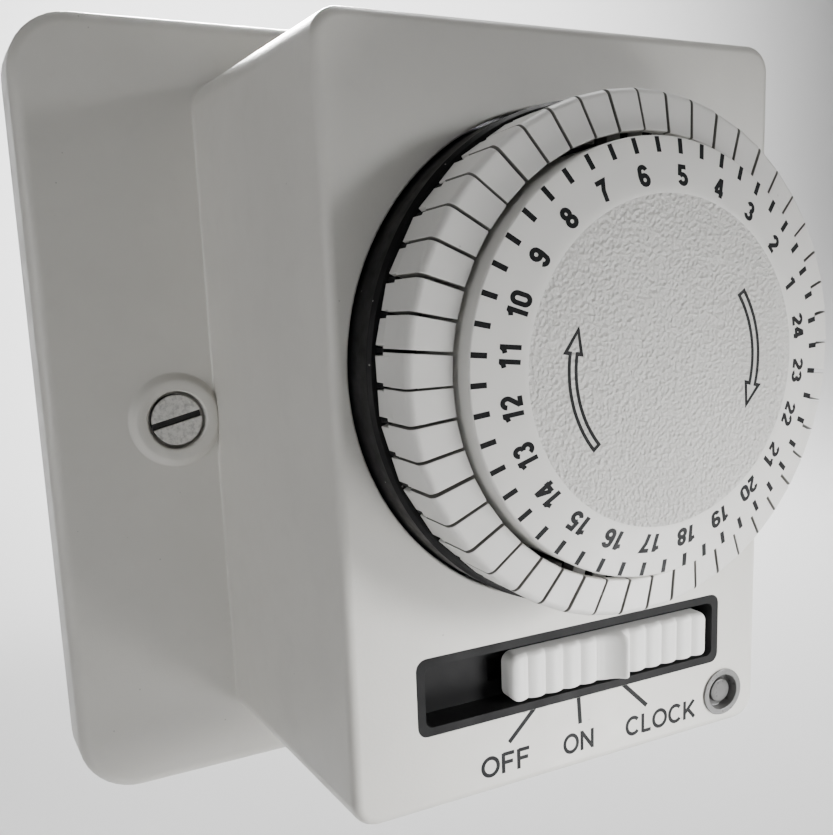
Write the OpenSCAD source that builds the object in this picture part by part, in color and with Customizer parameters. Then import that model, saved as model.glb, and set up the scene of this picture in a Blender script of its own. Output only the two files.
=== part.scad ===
// Wall-mounted 24-hour heating timer with a tappet dial and an OFF / ON / CLOCK slide.
// Millimetres. X is to the right, Y runs into the wall, Z is up.
// The origin is the centre of the back face, which lies on the wall.
// Every module below is drawn facing the viewer: x right, y up, z out from the wall.

/* [Cover] */
// Width of the raised box at its front face
box_w = 68.4; // [67:0.2:72]
// Height of the raised box at its front face
box_h = 100; // [98:0.5:106]
// How far the raised box stands out from the flange
box_d = 46.5; // [46.5:0.5:52]
// How much each wall of the raised box spreads on its way back to the flange
wall_draft = 3.5; // [2:0.5:4]
// Width of the flange tier at its front
flange_w = 129.2; // [128:0.2:134]
// Height of the flange tier at its front
flange_h = 125.2; // [124:0.2:130]
// Thickness of the flange tier, from the wall to its front
flange_d = 10; // [10:0.5:12]
// Wall thickness of the cover moulding
wall_t = 2.4; // [2:0.1:2.6]

/* [Dial] */
// Height of the dial's centre above the middle of the cover
dial_y = 8.5; // [7.5:0.1:9]
// Radius of the black tappet carrier
carrier_r = 31.7; // [31.6:0.1:32]
// Radius of the printed dial cap
cap_r = 25.2; // [24.8:0.1:25.3]
// Radius of the flat, grained centre of the dial cap
cap_flat_r = 19; // [17:0.1:20]
// How far a tappet pair slides outwards
tappet_travel = 2.5; // [1.5:0.1:2.5]

/* [Slide switch] */
// Width of the slide knob
knob_w = 34.9; // [34:0.1:34.9]
// Height of the slide knob
knob_h = 7.1; // [6.8:0.1:7.2]
// Slide travel from CLOCK to OFF, two equal steps
slide_travel = 12.7; // [10:0.1:12.7]

/* [Wall fixing] */
// Distance between the two wall-fixing slots
fixing_pitch = 60.3; // [60.3]
// Radius of a wall-fixing slot's round ends
fixing_r = 2.25; // [2:0.05:2.5]
// End-to-end length of a wall-fixing slot
fixing_len = 8.5; // [7:0.1:9]

/* [Hidden] */
$fn = 64;
HOURS = 24;
PAIR_ANGLE = 360 / HOURS;
// Angle of the 24 mark, anticlockwise from the right, in the position shown
MIDNIGHT_ANGLE = 9.06;

// Levels above the wall
face_z = flange_d + box_d;
plate_t = 2.5;
inner_z = face_z - wall_t;
front_plate_z = face_z - 8.3;
front_plate_t = 1.2;
front_plate_top = front_plate_z + front_plate_t;
back_plate_z = face_z - 17.3;
back_plate_t = 1.2;
back_plate_top = back_plate_z + back_plate_t;
carrier_back = face_z - 4.5;
carrier_top = face_z + 5;

// Cover details
edge_r = 1.3;
box_corner_r = 3.6;
flange_edge_r = 2;
flange_corner_r = 9.5;
flange_draft = 0.8;
fillet_t = 1.2;
rim_gap = 0.3;
cover_screw_x = 44.4;
screw_boss_r = 5.6;
screw_boss_top = flange_d + 1.4;
screw_seat_z = flange_d - 1.4;
boss_below = flange_d - 2.6;
dial_gap = 0.35;
SLICE = 0.01;

// Slot in the face
slot_x = 0.75;
slot_y = -33.97;
// The knob sits a little low in the slot
knob_y = slot_y - 0.2;
knob_right = 24.3;
knob_centre = knob_right - knob_w / 2;
stem_w = 10;
stem_h = 2.6;
// Room for the stem at each end of its travel, and above and below it
stem_play = 0.9;
slot_w = 51.1;
slot_h = 10.76;
bezel_band = 1.2;
bezel_t = 1;
bezel_body_wall = 0.9;
bezel_corner_r = 1.3;
bezel_floor_top = face_z - 4;
bezel_floor_t = 1;
lens_x = 27.35;
lens_y = -44.55;
lens_rim_r = 3.65;
lens_body_r = 3;

// Fixing points of the movement's frame
frame_posts = [[-27.5, 43], [27.5, 43], [-27.5, -24], [27.5, -24]];
pillars = [[-27.5, 36], [27.5, 36], [-27.5, -38], [27.5, -38]];
post_r = 3;
post_pilot_r = 1.25;
pillar_r = 2.5;
m3_r = 1.5;
m3_head_r = 2.6;
m3_head_t = 1.6;

// Gear train: dial wheel 72, intermediate 12 and 48, motor pinion 12
gear_module = 2 / 3;
pressure_angle = 25;
addendum = 0.85 * gear_module;
dedendum = 1.15 * gear_module;
flank_gap = 0.07;
dial_teeth = 72;
pinion_teeth = 12;
middle_teeth = 48;
dial_to_middle = gear_module * (dial_teeth + pinion_teeth) / 2;
middle_to_motor = gear_module * (middle_teeth + pinion_teeth) / 2;
middle_angle = -60;
motor_angle = 130;
middle_x = dial_to_middle * cos(middle_angle);
middle_y = dial_y + dial_to_middle * sin(middle_angle);
motor_x = middle_x + middle_to_motor * cos(motor_angle);
motor_y = middle_y + middle_to_motor * sin(motor_angle);
dial_wheel_z = face_z - 11.1;
dial_wheel_t = 2;
middle_wheel_z = face_z - 14.9;
middle_wheel_t = 1.5;
arbor_r = 3;
thin_arbor_r = 1;
running = 0.05;

// Tappets, measured from the dial's centre and from the cover's face
tappet_in_r = 25.95;
tappet_out_r = 30.95;
pair_gap = 0.28;
skirt_bottom = 7.3;
tail_in_r = 26;
tail_t = 1.4;
tail_w = 2;
tail_v = 0.93;
foot_v = 0.42;
foot_w = 3.06;
foot_in_r = 29.4;
foot_out_r = 30.85;
tail_end = face_z - 6.5;

// Follower lever and microswitch
lever_pivot = [-25.5, -15];
lever_z = face_z - 6.2;
lever_t = 1.4;
lever_pin_r = 1.25;
plunger_x = -14.5;
switch_x = -14;
switch_top = -26.5;
switch_size = [20, 10, 6.4];

// Motor
motor_r = 22;
motor_t = 15;
motor_back = back_plate_z - motor_t - 1;

// Terminal block
TERMINALS = 6;
terminal_pitch = 9.4;
terminal_y = -35.5;
terminal_size = [57, 17, 13];
terminal_bore_z = plate_t + 5.5;

HOUR_NAMES = [for (i = [1:HOURS]) str("tappets_", i < 10 ? "0" : "", i)];

// Outline of a rectangle with round corners, centred on the origin
function rounded(w, h, r, n = 8) = [
    for (q = [0:3]) for (i = [0:n])
        let (a = 90 * q + 90 * i / n,
             cx = (q == 0 || q == 3 ? 1 : -1) * (w / 2 - r),
             cy = (q < 2 ? 1 : -1) * (h / 2 - r))
        [cx + r * cos(a), cy + r * sin(a)]
];

// Involute of an angle, in degrees
function inv(a) = tan(a) * 180 / PI - a;

// Half the angle that a tooth takes up at radius r
function half_tooth(r, teeth) =
    let (rp = gear_module * teeth / 2, rb = rp * cos(pressure_angle))
    90 / teeth - flank_gap / rp * 180 / PI + inv(pressure_angle) - inv(acos(min(1, rb / r)));

// Outline of a spur gear with a tooth centred at angle 0
function gear_outline(teeth) =
    let (rp = gear_module * teeth / 2,
         radii = [rp - dedendum, max(rp * cos(pressure_angle) + 0.02, rp - dedendum / 2), rp, rp + addendum])
    [for (k = [0:teeth - 1], s = [-1, 1], i = [0:3])
        let (r = radii[s < 0 ? i : 3 - i], a = 360 * k / teeth + s * half_tooth(r, teeth))
        [r * cos(a), r * sin(a)]];

module front_view() {
    rotate([90, 0, 0]) children();
}

module slice(z, w, h, r) {
    translate([0, 0, z - SLICE]) linear_extrude(SLICE) polygon(rounded(w, h, r));
}

module disc(z, t, r) {
    translate([0, 0, z]) cylinder(h = t, r = r);
}

module at_dial() {
    translate([0, dial_y, 0]) children();
}

module at_middle() {
    translate([middle_x, middle_y, 0]) children();
}

module at_motor() {
    translate([motor_x, motor_y, 0]) children();
}

module at_each(places) {
    for (p = places) translate([p[0], p[1], 0]) children();
}

module slotted_screw(seat_z, head_r, head_t, shank_r, length, slot_turn) {
    difference() {
        union() {
            disc(seat_z, head_t, head_r);
            disc(seat_z - length, length + SLICE, shank_r);
        }
        rotate(slot_turn) translate([-head_r - 1, -head_r / 8, seat_z + head_t - head_t * 0.45])
            cube([2 * head_r + 2, head_r / 4, head_t]);
    }
}

// ---- Cover ----

module box_shell(inset, front, back) {
    hull() {
        for (a = [0:30:90])
            let (in = inset + (inset > 0 ? 0 : edge_r * (1 - sin(a))))
            slice(front - (inset > 0 ? 0 : edge_r * (1 - cos(a))),
                  box_w - 2 * in, box_h - 2 * in, max(1, box_corner_r - in));
        let (spread = wall_draft * (front - back) / box_d - inset)
        slice(back, box_w + 2 * spread, box_h + 2 * spread, box_corner_r + 1);
    }
}

module flange_shell() {
    hull() {
        for (a = [0:30:90])
            let (in = flange_edge_r * (1 - sin(a)))
            slice(flange_d - flange_edge_r * (1 - cos(a)),
                  flange_w - 2 * in, flange_h - 2 * in, flange_corner_r - in);
        slice(SLICE, flange_w + 2 * flange_draft, flange_h + 2 * flange_draft, flange_corner_r);
    }
}

module flange_cavity() {
    hull() {
        slice(flange_d - wall_t, flange_w - 2 * wall_t, flange_h - 2 * wall_t, flange_corner_r - wall_t);
        slice(-1, flange_w - 2 * wall_t + 2 * flange_draft,
              flange_h - 2 * wall_t + 2 * flange_draft, flange_corner_r - wall_t);
    }
}

module root_fillet() {
    hull() {
        let (spread = 2 * (wall_draft + fillet_t))
        slice(flange_d, box_w + spread, box_h + spread, box_corner_r + fillet_t + 1);
        let (spread = 2 * wall_draft * (1 - fillet_t / box_d))
        slice(flange_d + fillet_t, box_w + spread, box_h + spread, box_corner_r + 1);
    }
}

module screw_boss() {
    translate([0, 0, flange_d - 0.2])
        cylinder(h = screw_boss_top - flange_d + 0.2, r1 = 7, r2 = screw_boss_r);
    disc(boss_below, screw_boss_top - boss_below, screw_boss_r);
}

module slot_block(w, h, z, t, r) {
    translate([slot_x, slot_y, z]) linear_extrude(t) polygon(rounded(w, h, r, 5));
}

module cover() {
    color("gainsboro")
    difference() {
        union() {
            difference() {
                union() {
                    box_shell(0, face_z, flange_d);
                    flange_shell();
                    root_fillet();
                }
                box_shell(wall_t, inner_z, 0);
                flange_cavity();
            }
            at_each([[-cover_screw_x, 0], [cover_screw_x, 0]]) screw_boss();
            at_each(frame_posts) disc(front_plate_top, inner_z - front_plate_top + 0.5, post_r);
        }
        at_dial() disc(inner_z - 1, wall_t + 2, carrier_r + dial_gap);
        slot_block(slot_w, slot_h, face_z - bezel_t, bezel_t + 1, bezel_corner_r);
        slot_block(slot_w - 2 * (bezel_band - bezel_body_wall),
                   slot_h - 2 * (bezel_band - bezel_body_wall), inner_z - 1, wall_t + 2, bezel_corner_r);
        translate([lens_x, lens_y, 0]) disc(inner_z - 1, wall_t + 2, lens_body_r);
        at_each([[-cover_screw_x, 0], [cover_screw_x, 0]]) {
            disc(screw_seat_z, 10, 4.75);
            disc(0, 20, 2.25);
        }
        at_each(frame_posts) disc(front_plate_top - 1, inner_z - front_plate_top, post_pilot_r);
    }
}

module cover_screws() {
    color("silver")
    for (side = [-1, 1]) translate([side * cover_screw_x, 0, 0])
        slotted_screw(screw_seat_z, 4.15, 2.1, 2, 5.6, side < 0 ? 13 : -50);
}

module screw_inserts() {
    color("goldenrod")
    at_each([[-cover_screw_x, 0], [cover_screw_x, 0]]) difference() {
        disc(plate_t + 0.1, boss_below - plate_t - 0.4, 2.8);
        disc(0, 20, 2);
    }
}

// ---- Backplate ----

module fixing_slot() {
    reach = fixing_len / 2 - fixing_r;
    at_each([[-reach, 0], [reach, 0]]) disc(-1, plate_t + 2, fixing_r);
    translate([-reach, -fixing_r, -1]) cube([2 * reach, 2 * fixing_r, plate_t + 2]);
}

module backplate() {
    plate_w = flange_w - 2 * wall_t - 2 * rim_gap;
    plate_h = flange_h - 2 * wall_t - 2 * rim_gap;
    color("whitesmoke")
    difference() {
        union() {
            linear_extrude(plate_t) polygon(rounded(plate_w, plate_h, flange_corner_r - wall_t));
            at_each([[-cover_screw_x, 0], [cover_screw_x, 0]]) disc(0, boss_below - 0.3, 4);
        }
        at_each([[-cover_screw_x, 0], [cover_screw_x, 0]]) disc(plate_t + 0.1, 20, 2.8);
        at_each([[-fixing_pitch / 2, 0], [fixing_pitch / 2, 0]]) fixing_slot();
        translate([0, 26, -1]) linear_extrude(plate_t + 2) polygon(rounded(30, 20, 3));
    }
}

// ---- Slide switch ----

module slot_bezel() {
    inner_w = slot_w - 2 * bezel_band;
    inner_h = slot_h - 2 * bezel_band;
    body_w = inner_w + 2 * bezel_body_wall;
    body_h = inner_h + 2 * bezel_body_wall;
    floor_z = bezel_floor_top - bezel_floor_t;
    stem_slot = [slide_travel + stem_w + 2 * stem_play, stem_h + 0.6, 4];
    stem_slot_left = knob_centre - slide_travel - stem_w / 2 - stem_play;
    color("dimgray")
    difference() {
        union() {
            slot_block(slot_w, slot_h, face_z - bezel_t, bezel_t, bezel_corner_r);
            slot_block(body_w, body_h, floor_z, face_z - floor_z - 0.5, bezel_corner_r);
        }
        slot_block(inner_w, inner_h, bezel_floor_top, 10, 1);
        translate([stem_slot_left, knob_y - stem_slot[1] / 2, floor_z - 1]) cube(stem_slot);
    }
}

module slide_knob() {
    ribs = 12;
    pitch = knob_w / ribs;
    rib_r = 1.7;
    crest = face_z + 0.2;
    base_z = face_z - 2.4;
    stem_z = bezel_floor_top - bezel_floor_t - 0.3;
    fin_x = 7.4;
    fin_rise = 1.8;
    color("white") {
        intersection() {
            union() {
                slab_top = crest - rib_r * 0.7;
                translate([knob_right - knob_w, knob_y - knob_h / 2, base_z])
                    cube([knob_w, knob_h, slab_top - base_z]);
                for (i = [0:ribs - 1])
                    translate([knob_right - knob_w + (i + 0.5) * pitch, knob_y, crest - rib_r])
                        rotate([90, 0, 0]) cylinder(h = knob_h, r = rib_r, center = true, $fn = 32);
            }
            translate([knob_centre, knob_y, 0]) linear_extrude(face_z + 5)
                polygon(rounded(knob_w, knob_h, 1.2, 6));
        }
        // Raised pointer: a hollow ramp on its left, a steep step on its right
        translate([fin_x, knob_y, 0]) rotate([90, 0, 0]) linear_extrude(knob_h, center = true) polygon(concat(
            [[-3.6, crest - 1], [1, crest - 1], [0.85, crest + fin_rise - 0.3], [0.6, crest + fin_rise]],
            [for (t = [0:0.125:1]) [0.1 - 3.7 * t, crest - 0.1 + fin_rise * pow(1 - t, 1.8)]]));
        // Stem through the bezel floor
        translate([knob_centre - stem_w / 2, knob_y - stem_h / 2, stem_z])
            cube([stem_w, stem_h, base_z + 0.2 - stem_z]);
    }
}

module slide_carriage() {
    // It reaches further left than right, so that it covers the stem's slot from behind
    left = knob_centre - 18.7;
    right = knob_centre + 16;
    height = 8;
    thick = 1.5;
    top = bezel_floor_top - bezel_floor_t - 0.3;
    color("black")
    difference() {
        translate([left, knob_y - height / 2, top - thick]) cube([right - left, height, thick]);
        // Detent notches along the lower edge, one for each of the three positions
        for (i = [-1:1])
            translate([knob_centre + i * slide_travel / 2, knob_y - height / 2, top - thick - 1])
                cylinder(h = thick + 2, r = 0.9);
    }
}

// ---- Indicator ----

module indicator_lens() {
    rim = 0.3;
    dish_r = 2.75;
    dish_t = 1.5;
    tube_r = 2.3;
    nub_r = 1.8;
    color("lightgray") translate([lens_x, lens_y, 0]) {
        difference() {
            union() {
                disc(face_z, rim, lens_rim_r);
                disc(front_plate_top + 0.6, face_z - front_plate_top - 0.6, lens_body_r);
            }
            disc(face_z + rim - dish_t, dish_t + 1, dish_r);
            disc(front_plate_top, face_z - front_plate_top - 2, tube_r);
        }
        disc(face_z - 1.3, 1, nub_r);
    }
}

module neon_lamp() {
    glass_r = 2.1;
    color("orange") translate([lens_x, lens_y, 0])
        rotate_extrude() polygon([
            [0, front_plate_top], [glass_r, front_plate_top], [glass_r, face_z - 3.8],
            [glass_r * 0.8, face_z - 3.1], [glass_r * 0.4, face_z - 2.7], [0, face_z - 2.6]]);
}

// ---- Movement frame ----

module front_plate() {
    tab_window = [[-19.5, -27.5], [8, 6.7]];
    color("silver")
    difference() {
        translate([0, 0.5, front_plate_z]) linear_extrude(front_plate_t) polygon(rounded(61, 93, 2));
        at_dial() disc(front_plate_z - 1, 4, 4.5);
        at_middle() disc(front_plate_z - 1, 4, thin_arbor_r + running);
        at_each(frame_posts) disc(front_plate_z - 1, 4, m3_r);
        at_each(pillars) disc(front_plate_z - 1, 4, m3_r);
        at_each([lever_pivot]) disc(front_plate_z - 1, 4, lever_pin_r);
        at_each([[switch_x - 7, -33], [switch_x + 7, -33]]) disc(front_plate_z - 1, 4, 1);
        translate([tab_window[0][0], tab_window[0][1], front_plate_z - 1])
            cube([tab_window[1][0], tab_window[1][1], 4]);
    }
}

module back_plate() {
    color("silver")
    difference() {
        translate([0, -1, back_plate_z]) linear_extrude(back_plate_t) polygon(rounded(61, 82, 2));
        at_dial() disc(back_plate_z - 1, 4, 1.5 + running);
        at_middle() disc(back_plate_z - 1, 4, thin_arbor_r + running);
        at_motor() disc(back_plate_z - 1, 4, 4);
        at_motor() at_each([[-26, 0], [26, 0]]) disc(back_plate_z - 1, 4, m3_r);
        at_each(pillars) disc(back_plate_z - 1, 4, m3_r);
    }
}

module plate_pillars() {
    color("goldenrod")
    at_each(pillars) difference() {
        disc(back_plate_top, front_plate_z - back_plate_top, pillar_r);
        disc(back_plate_top - 1, 20, m3_r);
    }
}

module pillar_screws() {
    color("silver")
    at_each(pillars) slotted_screw(front_plate_top, m3_head_r - 0.2, 1.4, m3_r, 12, 35);
}

module frame_screws() {
    color("silver")
    at_each(frame_posts) translate([0, 0, 2 * front_plate_z]) mirror([0, 0, 1])
        slotted_screw(front_plate_z, m3_head_r, m3_head_t, post_pilot_r, 4.6, 60);
}

// ---- Dial drive ----

module dial_bush() {
    color("goldenrod")
    at_dial() difference() {
        union() {
            disc(front_plate_z, front_plate_t, 4.5);
            disc(front_plate_top, 0.8, 6);
        }
        disc(front_plate_z - 1, 5, arbor_r + running);
    }
}

module dial_arbor() {
    shoulder_z = dial_wheel_z - 2;
    color("silver")
    at_dial() {
        disc(shoulder_z, face_z + 3.5 - shoulder_z, arbor_r);
        disc(front_plate_top + 0.9, carrier_back - front_plate_top - 0.9, 4.5);
        disc(back_plate_z + 0.2, shoulder_z - back_plate_z, 1.5);
    }
}

module dial_wheel() {
    windows = 5;
    color("goldenrod")
    at_dial() translate([0, 0, dial_wheel_z]) rotate(middle_angle)
    linear_extrude(dial_wheel_t) difference() {
        polygon(gear_outline(dial_teeth));
        circle(arbor_r + SLICE);
        for (i = [0:windows - 1]) rotate(i * 360 / windows) translate([14.5, 0]) circle(5);
    }
}

module clutch_spring() {
    bottom = dial_wheel_z - 1.1;
    color("silver")
    at_dial() rotate_extrude() polygon([
        [arbor_r, bottom], [arbor_r + 1, bottom], [7, dial_wheel_z - 0.35],
        [7, dial_wheel_z], [6.4, dial_wheel_z], [arbor_r, bottom + 0.35]]);
}

module arbor_clip() {
    color("dimgray")
    at_dial() difference() {
        disc(dial_wheel_z - 1.8, 0.7, 4.1);
        disc(dial_wheel_z - 3, 5, arbor_r);
        translate([-1.2, -6, dial_wheel_z - 3]) cube([2.4, 6, 5]);
    }
}

// ---- Dial ----

module pair_places() {
    for (i = [0:HOURS - 1]) rotate(MIDNIGHT_ANGLE + (i + 0.5) * PAIR_ANGLE) children();
}

module tappet_carrier() {
    rim_in_r = cap_r + 0.4;
    slot_gap = 0.15;
    rib_w = 0.5;
    rib_h = 2.1;
    rib_in_r = 26.9;
    rib_out_r = 30.7;
    web_z = face_z - 2;
    web_t = 2;
    color("#1c1c1c")
    at_dial() {
        difference() {
            translate([0, 0, carrier_back]) linear_extrude(carrier_top - carrier_back) difference() {
                circle(carrier_r, $fn = 96);
                circle(rim_in_r);
                pair_places() for (s = [0, 1]) mirror([0, s])
                    translate([tail_in_r - slot_gap, tail_v - slot_gap])
                        square([tail_t + tappet_travel + 2 * slot_gap, tail_w + 2 * slot_gap]);
            }
            // The outer edge of the carrier's front is eased
            translate([0, 0, carrier_top]) rotate_extrude()
                polygon([[carrier_r - 0.5, 0.1], [carrier_r + 1, 0.1],
                         [carrier_r + 1, -0.6], [carrier_r, -0.5]]);
        }
        difference() {
            disc(web_z, web_t, rim_in_r + SLICE);
            disc(web_z - 1, web_t + 2, arbor_r);
        }
        difference() {
            disc(carrier_back, face_z - carrier_back, 7);
            disc(carrier_back - 1, 10, arbor_r);
        }
        // Guide ribs between the tappet feet
        translate([0, 0, carrier_top - SLICE]) linear_extrude(rib_h) pair_places()
            for (a = [0, PAIR_ANGLE / 2]) rotate(a) translate([rib_in_r, -rib_w / 2])
                square([rib_out_r - rib_in_r, rib_w]);
    }
}

module carrier_nut() {
    across_corners_r = 5;
    nut_t = 2.6;
    color("goldenrod")
    at_dial() difference() {
        translate([0, 0, face_z]) cylinder(h = nut_t, r = across_corners_r, $fn = 6);
        disc(face_z - 1, 10, arbor_r);
    }
}

module dial_cap() {
    cap_top = 17.6;
    edge_top = 16.15;
    rim_round = 0.35;
    skin = 1.4;
    color("whitesmoke")
    at_dial() translate([0, 0, face_z]) rotate_extrude() polygon([
        [0, cap_top], [cap_flat_r, cap_top], [cap_r - rim_round, edge_top + rim_round / 4],
        [cap_r - rim_round / 4, edge_top - rim_round / 3], [cap_r, edge_top - rim_round],
        [cap_r, 0], [cap_r - 1.2, 0], [cap_r - 1.2, edge_top - skin - 0.4],
        [cap_flat_r, cap_top - skin], [0, cap_top - skin]]);
}

// One hour: two separate tappets that slide out together along the pair's own radius
module tappet_pair(hour) {
    half = PAIR_ANGLE / 2;
    profile = [
        [tappet_in_r, 14.45], [tappet_in_r, 13.2], [28.9, 12.4], [28.9, skirt_bottom],
        [tappet_out_r, skirt_bottom], [tappet_out_r, 12.5],
        [tappet_out_r - 0.12, 13.0], [tappet_out_r - 0.5, 13.35]];
    color("gainsboro")
    at_dial() rotate(MIDNIGHT_ANGLE + (hour - 0.5) * PAIR_ANGLE) translate([0, 0, face_z]) for (s = [-1, 1]) {
        intersection() {
            rotate([0, 0, s * half / 2]) rotate([90, 0, 0]) linear_extrude(6, center = true) polygon(profile);
            linear_extrude(20) difference() {
                polygon([[20, s * pair_gap / 2], [34, s * pair_gap / 2],
                         [34, s * (34 * tan(half) - pair_gap * 0.6)],
                         [20, s * (20 * tan(half) - pair_gap * 0.6)]]);
            }
        }
        foot_low = s > 0 ? foot_v : -foot_v - foot_w;
        tail_low = s > 0 ? tail_v : -tail_v - tail_w;
        translate([foot_in_r, foot_low, 5.3]) cube([foot_out_r - foot_in_r, foot_w, 4]);
        translate([tail_in_r, tail_low, 5.3]) cube([foot_out_r - tail_in_r - 0.4, tail_w, 1.5]);
        translate([tail_in_r, tail_low, tail_end - face_z]) cube([tail_t, tail_w, 5.5 - tail_end + face_z]);
    }
}

// ---- Gear train and motor ----

module middle_arbor() {
    hub_r = 2.2;
    pinion_z = dial_wheel_z - 0.4;
    pinion_t = dial_wheel_t + 0.7;
    color("silver")
    at_middle() {
        disc(back_plate_z + 0.2, front_plate_top - back_plate_z - 0.4, thin_arbor_r);
        disc(middle_wheel_z - 0.5, pinion_z - middle_wheel_z + 0.5 + SLICE, hub_r);
        translate([0, 0, pinion_z]) rotate(middle_angle + 180 + 180 / pinion_teeth)
            linear_extrude(pinion_t) polygon(gear_outline(pinion_teeth));
    }
}

module middle_wheel() {
    windows = 4;
    color("goldenrod")
    at_middle() translate([0, 0, middle_wheel_z]) rotate(motor_angle)
    linear_extrude(middle_wheel_t) difference() {
        polygon(gear_outline(middle_teeth));
        circle(2.2);
        for (i = [0:windows - 1]) rotate(i * 360 / windows) translate([9.2, 0]) circle(3.6);
    }
}

module motor_pinion() {
    pinion_z = middle_wheel_z - 0.2;
    pinion_t = middle_wheel_t + 0.4;
    color("silver")
    at_motor() {
        disc(motor_back + 7, pinion_z - motor_back - 7 + SLICE, thin_arbor_r);
        translate([0, 0, pinion_z]) rotate(motor_angle + 180 + 180 / pinion_teeth)
            linear_extrude(pinion_t) polygon(gear_outline(pinion_teeth));
    }
}

module motor_case() {
    ear_x = 26;
    ear_r = 4;
    flange_t = 1;
    color("darkgray")
    at_motor() difference() {
        union() {
            disc(motor_back, motor_t, motor_r);
            translate([0, 0, back_plate_z - flange_t]) linear_extrude(flange_t) {
                circle(motor_r + 0.5);
                at_each([[-ear_x, 0], [ear_x, 0]]) circle(ear_r);
                square([2 * ear_x, 2 * ear_r], center = true);
            }
            disc(back_plate_z - 1, back_plate_t + 1.5, 3.95);
            disc(motor_back - 0.8, 1, 6);
        }
        disc(motor_back + 6.8, 40, thin_arbor_r + running);
        at_each([[-ear_x, 0], [ear_x, 0]]) disc(back_plate_z - 5, 10, m3_r);
    }
}

module motor_screws() {
    color("silver")
    at_motor() at_each([[-26, 0], [26, 0]]) translate([0, 0, 2 * back_plate_z - 2]) mirror([0, 0, 1])
        slotted_screw(back_plate_z - 1, m3_head_r - 0.2, 1.5, m3_r, 2.2, 20);
}

// ---- Follower and microswitch ----

module follower_lever() {
    pivot_r = 2.6;
    nose_angle = MIDNIGHT_ANGLE + 15.75 * PAIR_ANGLE;
    nose_r = 28;
    nose_half = 0.6;
    nose = [for (s = [-1, 1]) [nose_r * cos(nose_angle) + s * nose_half * sin(nose_angle),
                               dial_y + nose_r * sin(nose_angle) - s * nose_half * cos(nose_angle)]];
    arm_y = -21.5;
    arm_w = 2.6;
    tab = [[-16, -24.3], [3, 2]];
    color("silver") {
        translate([0, 0, lever_z]) linear_extrude(lever_t) difference() {
            union() {
                at_each([lever_pivot]) circle(pivot_r);
                polygon([[lever_pivot[0] - 1.4, lever_pivot[1] - 1.2],
                         [lever_pivot[0] + 1.4, lever_pivot[1] + 1],
                         [-19.6, arm_y + arm_w / 2], [-12.7, arm_y + arm_w / 2], nose[1],
                         nose[0], [-11.5, arm_y - arm_w / 2], [-21.6, arm_y - arm_w / 2]]);
                translate([tab[0][0], tab[0][1]]) square([tab[1][0], 2.5]);
            }
            at_each([lever_pivot]) circle(lever_pin_r + running);
        }
        // Tab bent back through the front plate's window
        translate([tab[0][0], tab[0][1], front_plate_z - 4.4])
            cube([tab[1][0], 1.4, lever_z - front_plate_z + 4.4 + SLICE]);
    }
}

module lever_pin() {
    color("goldenrod")
    at_each([lever_pivot]) {
        disc(front_plate_z, lever_z + lever_t + 0.2 - front_plate_z, lever_pin_r);
        disc(lever_z + lever_t + 0.15, 0.6, 1.8);
    }
}

module switch_case() {
    color("#1c1c1c")
    difference() {
        translate([switch_x - switch_size[0] / 2, switch_top - switch_size[1],
                   front_plate_z - switch_size[2]]) cube(switch_size);
        translate([plunger_x, switch_top - 5.2, front_plate_z - switch_size[2] / 2]) rotate([-90, 0, 0])
            cylinder(h = 10, r = 1 + running);
        at_each([[switch_x - 7, -33], [switch_x + 7, -33]]) disc(front_plate_z - 10, 20, 1);
    }
}

module switch_plunger() {
    color("firebrick")
    translate([plunger_x, switch_top - 2.6, front_plate_z - switch_size[2] / 2]) rotate([-90, 0, 0])
        cylinder(h = 4.5, r = 1);
}

module switch_blades() {
    color("goldenrod")
    for (x = [-7, 0, 7])
        translate([switch_x + x - 1.4, switch_top - switch_size[1] - 4.5,
                   front_plate_z - switch_size[2] / 2 - 0.25])
            cube([2.8, 4.5, 0.5]);
}

module switch_screws() {
    color("silver")
    at_each([[switch_x - 7, -33], [switch_x + 7, -33]])
        translate([0, 0, 2 * (front_plate_z - switch_size[2])]) mirror([0, 0, 1])
            slotted_screw(front_plate_z - switch_size[2], 1.9, 1.2, 1, switch_size[2] + front_plate_t, 10);
}

// ---- Terminals ----

module terminal_places() {
    for (i = [0:TERMINALS - 1])
        translate([(i - (TERMINALS - 1) / 2) * terminal_pitch, terminal_y, 0]) children();
}

module terminal_block() {
    color("ivory")
    difference() {
        translate([-terminal_size[0] / 2, terminal_y - terminal_size[1] / 2, plate_t]) cube(terminal_size);
        terminal_places() {
            disc(terminal_bore_z, 20, 2.3);
            translate([0, 0, terminal_bore_z]) rotate([90, 0, 0]) cylinder(h = 30, r = 2.7, center = true);
        }
        // Grooves that part the six ways
        for (i = [1:TERMINALS - 1])
            translate([(i - TERMINALS / 2) * terminal_pitch - 0.6, terminal_y - 20,
                       plate_t + terminal_size[2] - 3])
                cube([1.2, 40, 5]);
    }
}

module terminal_barrels() {
    length = 13;
    color("goldenrod")
    terminal_places() difference() {
        translate([0, 0, terminal_bore_z]) rotate([90, 0, 0]) cylinder(h = length, r = 2.7, center = true);
        translate([0, 0, terminal_bore_z]) rotate([90, 0, 0])
            cylinder(h = length + 2, r = 1.7, center = true);
        disc(terminal_bore_z, 10, m3_r);
    }
}

module terminal_screws() {
    color("silver")
    terminal_places() slotted_screw(terminal_bore_z + 3.6, 2.1, 1.6, m3_r, 3.2, 25);
}

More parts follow.
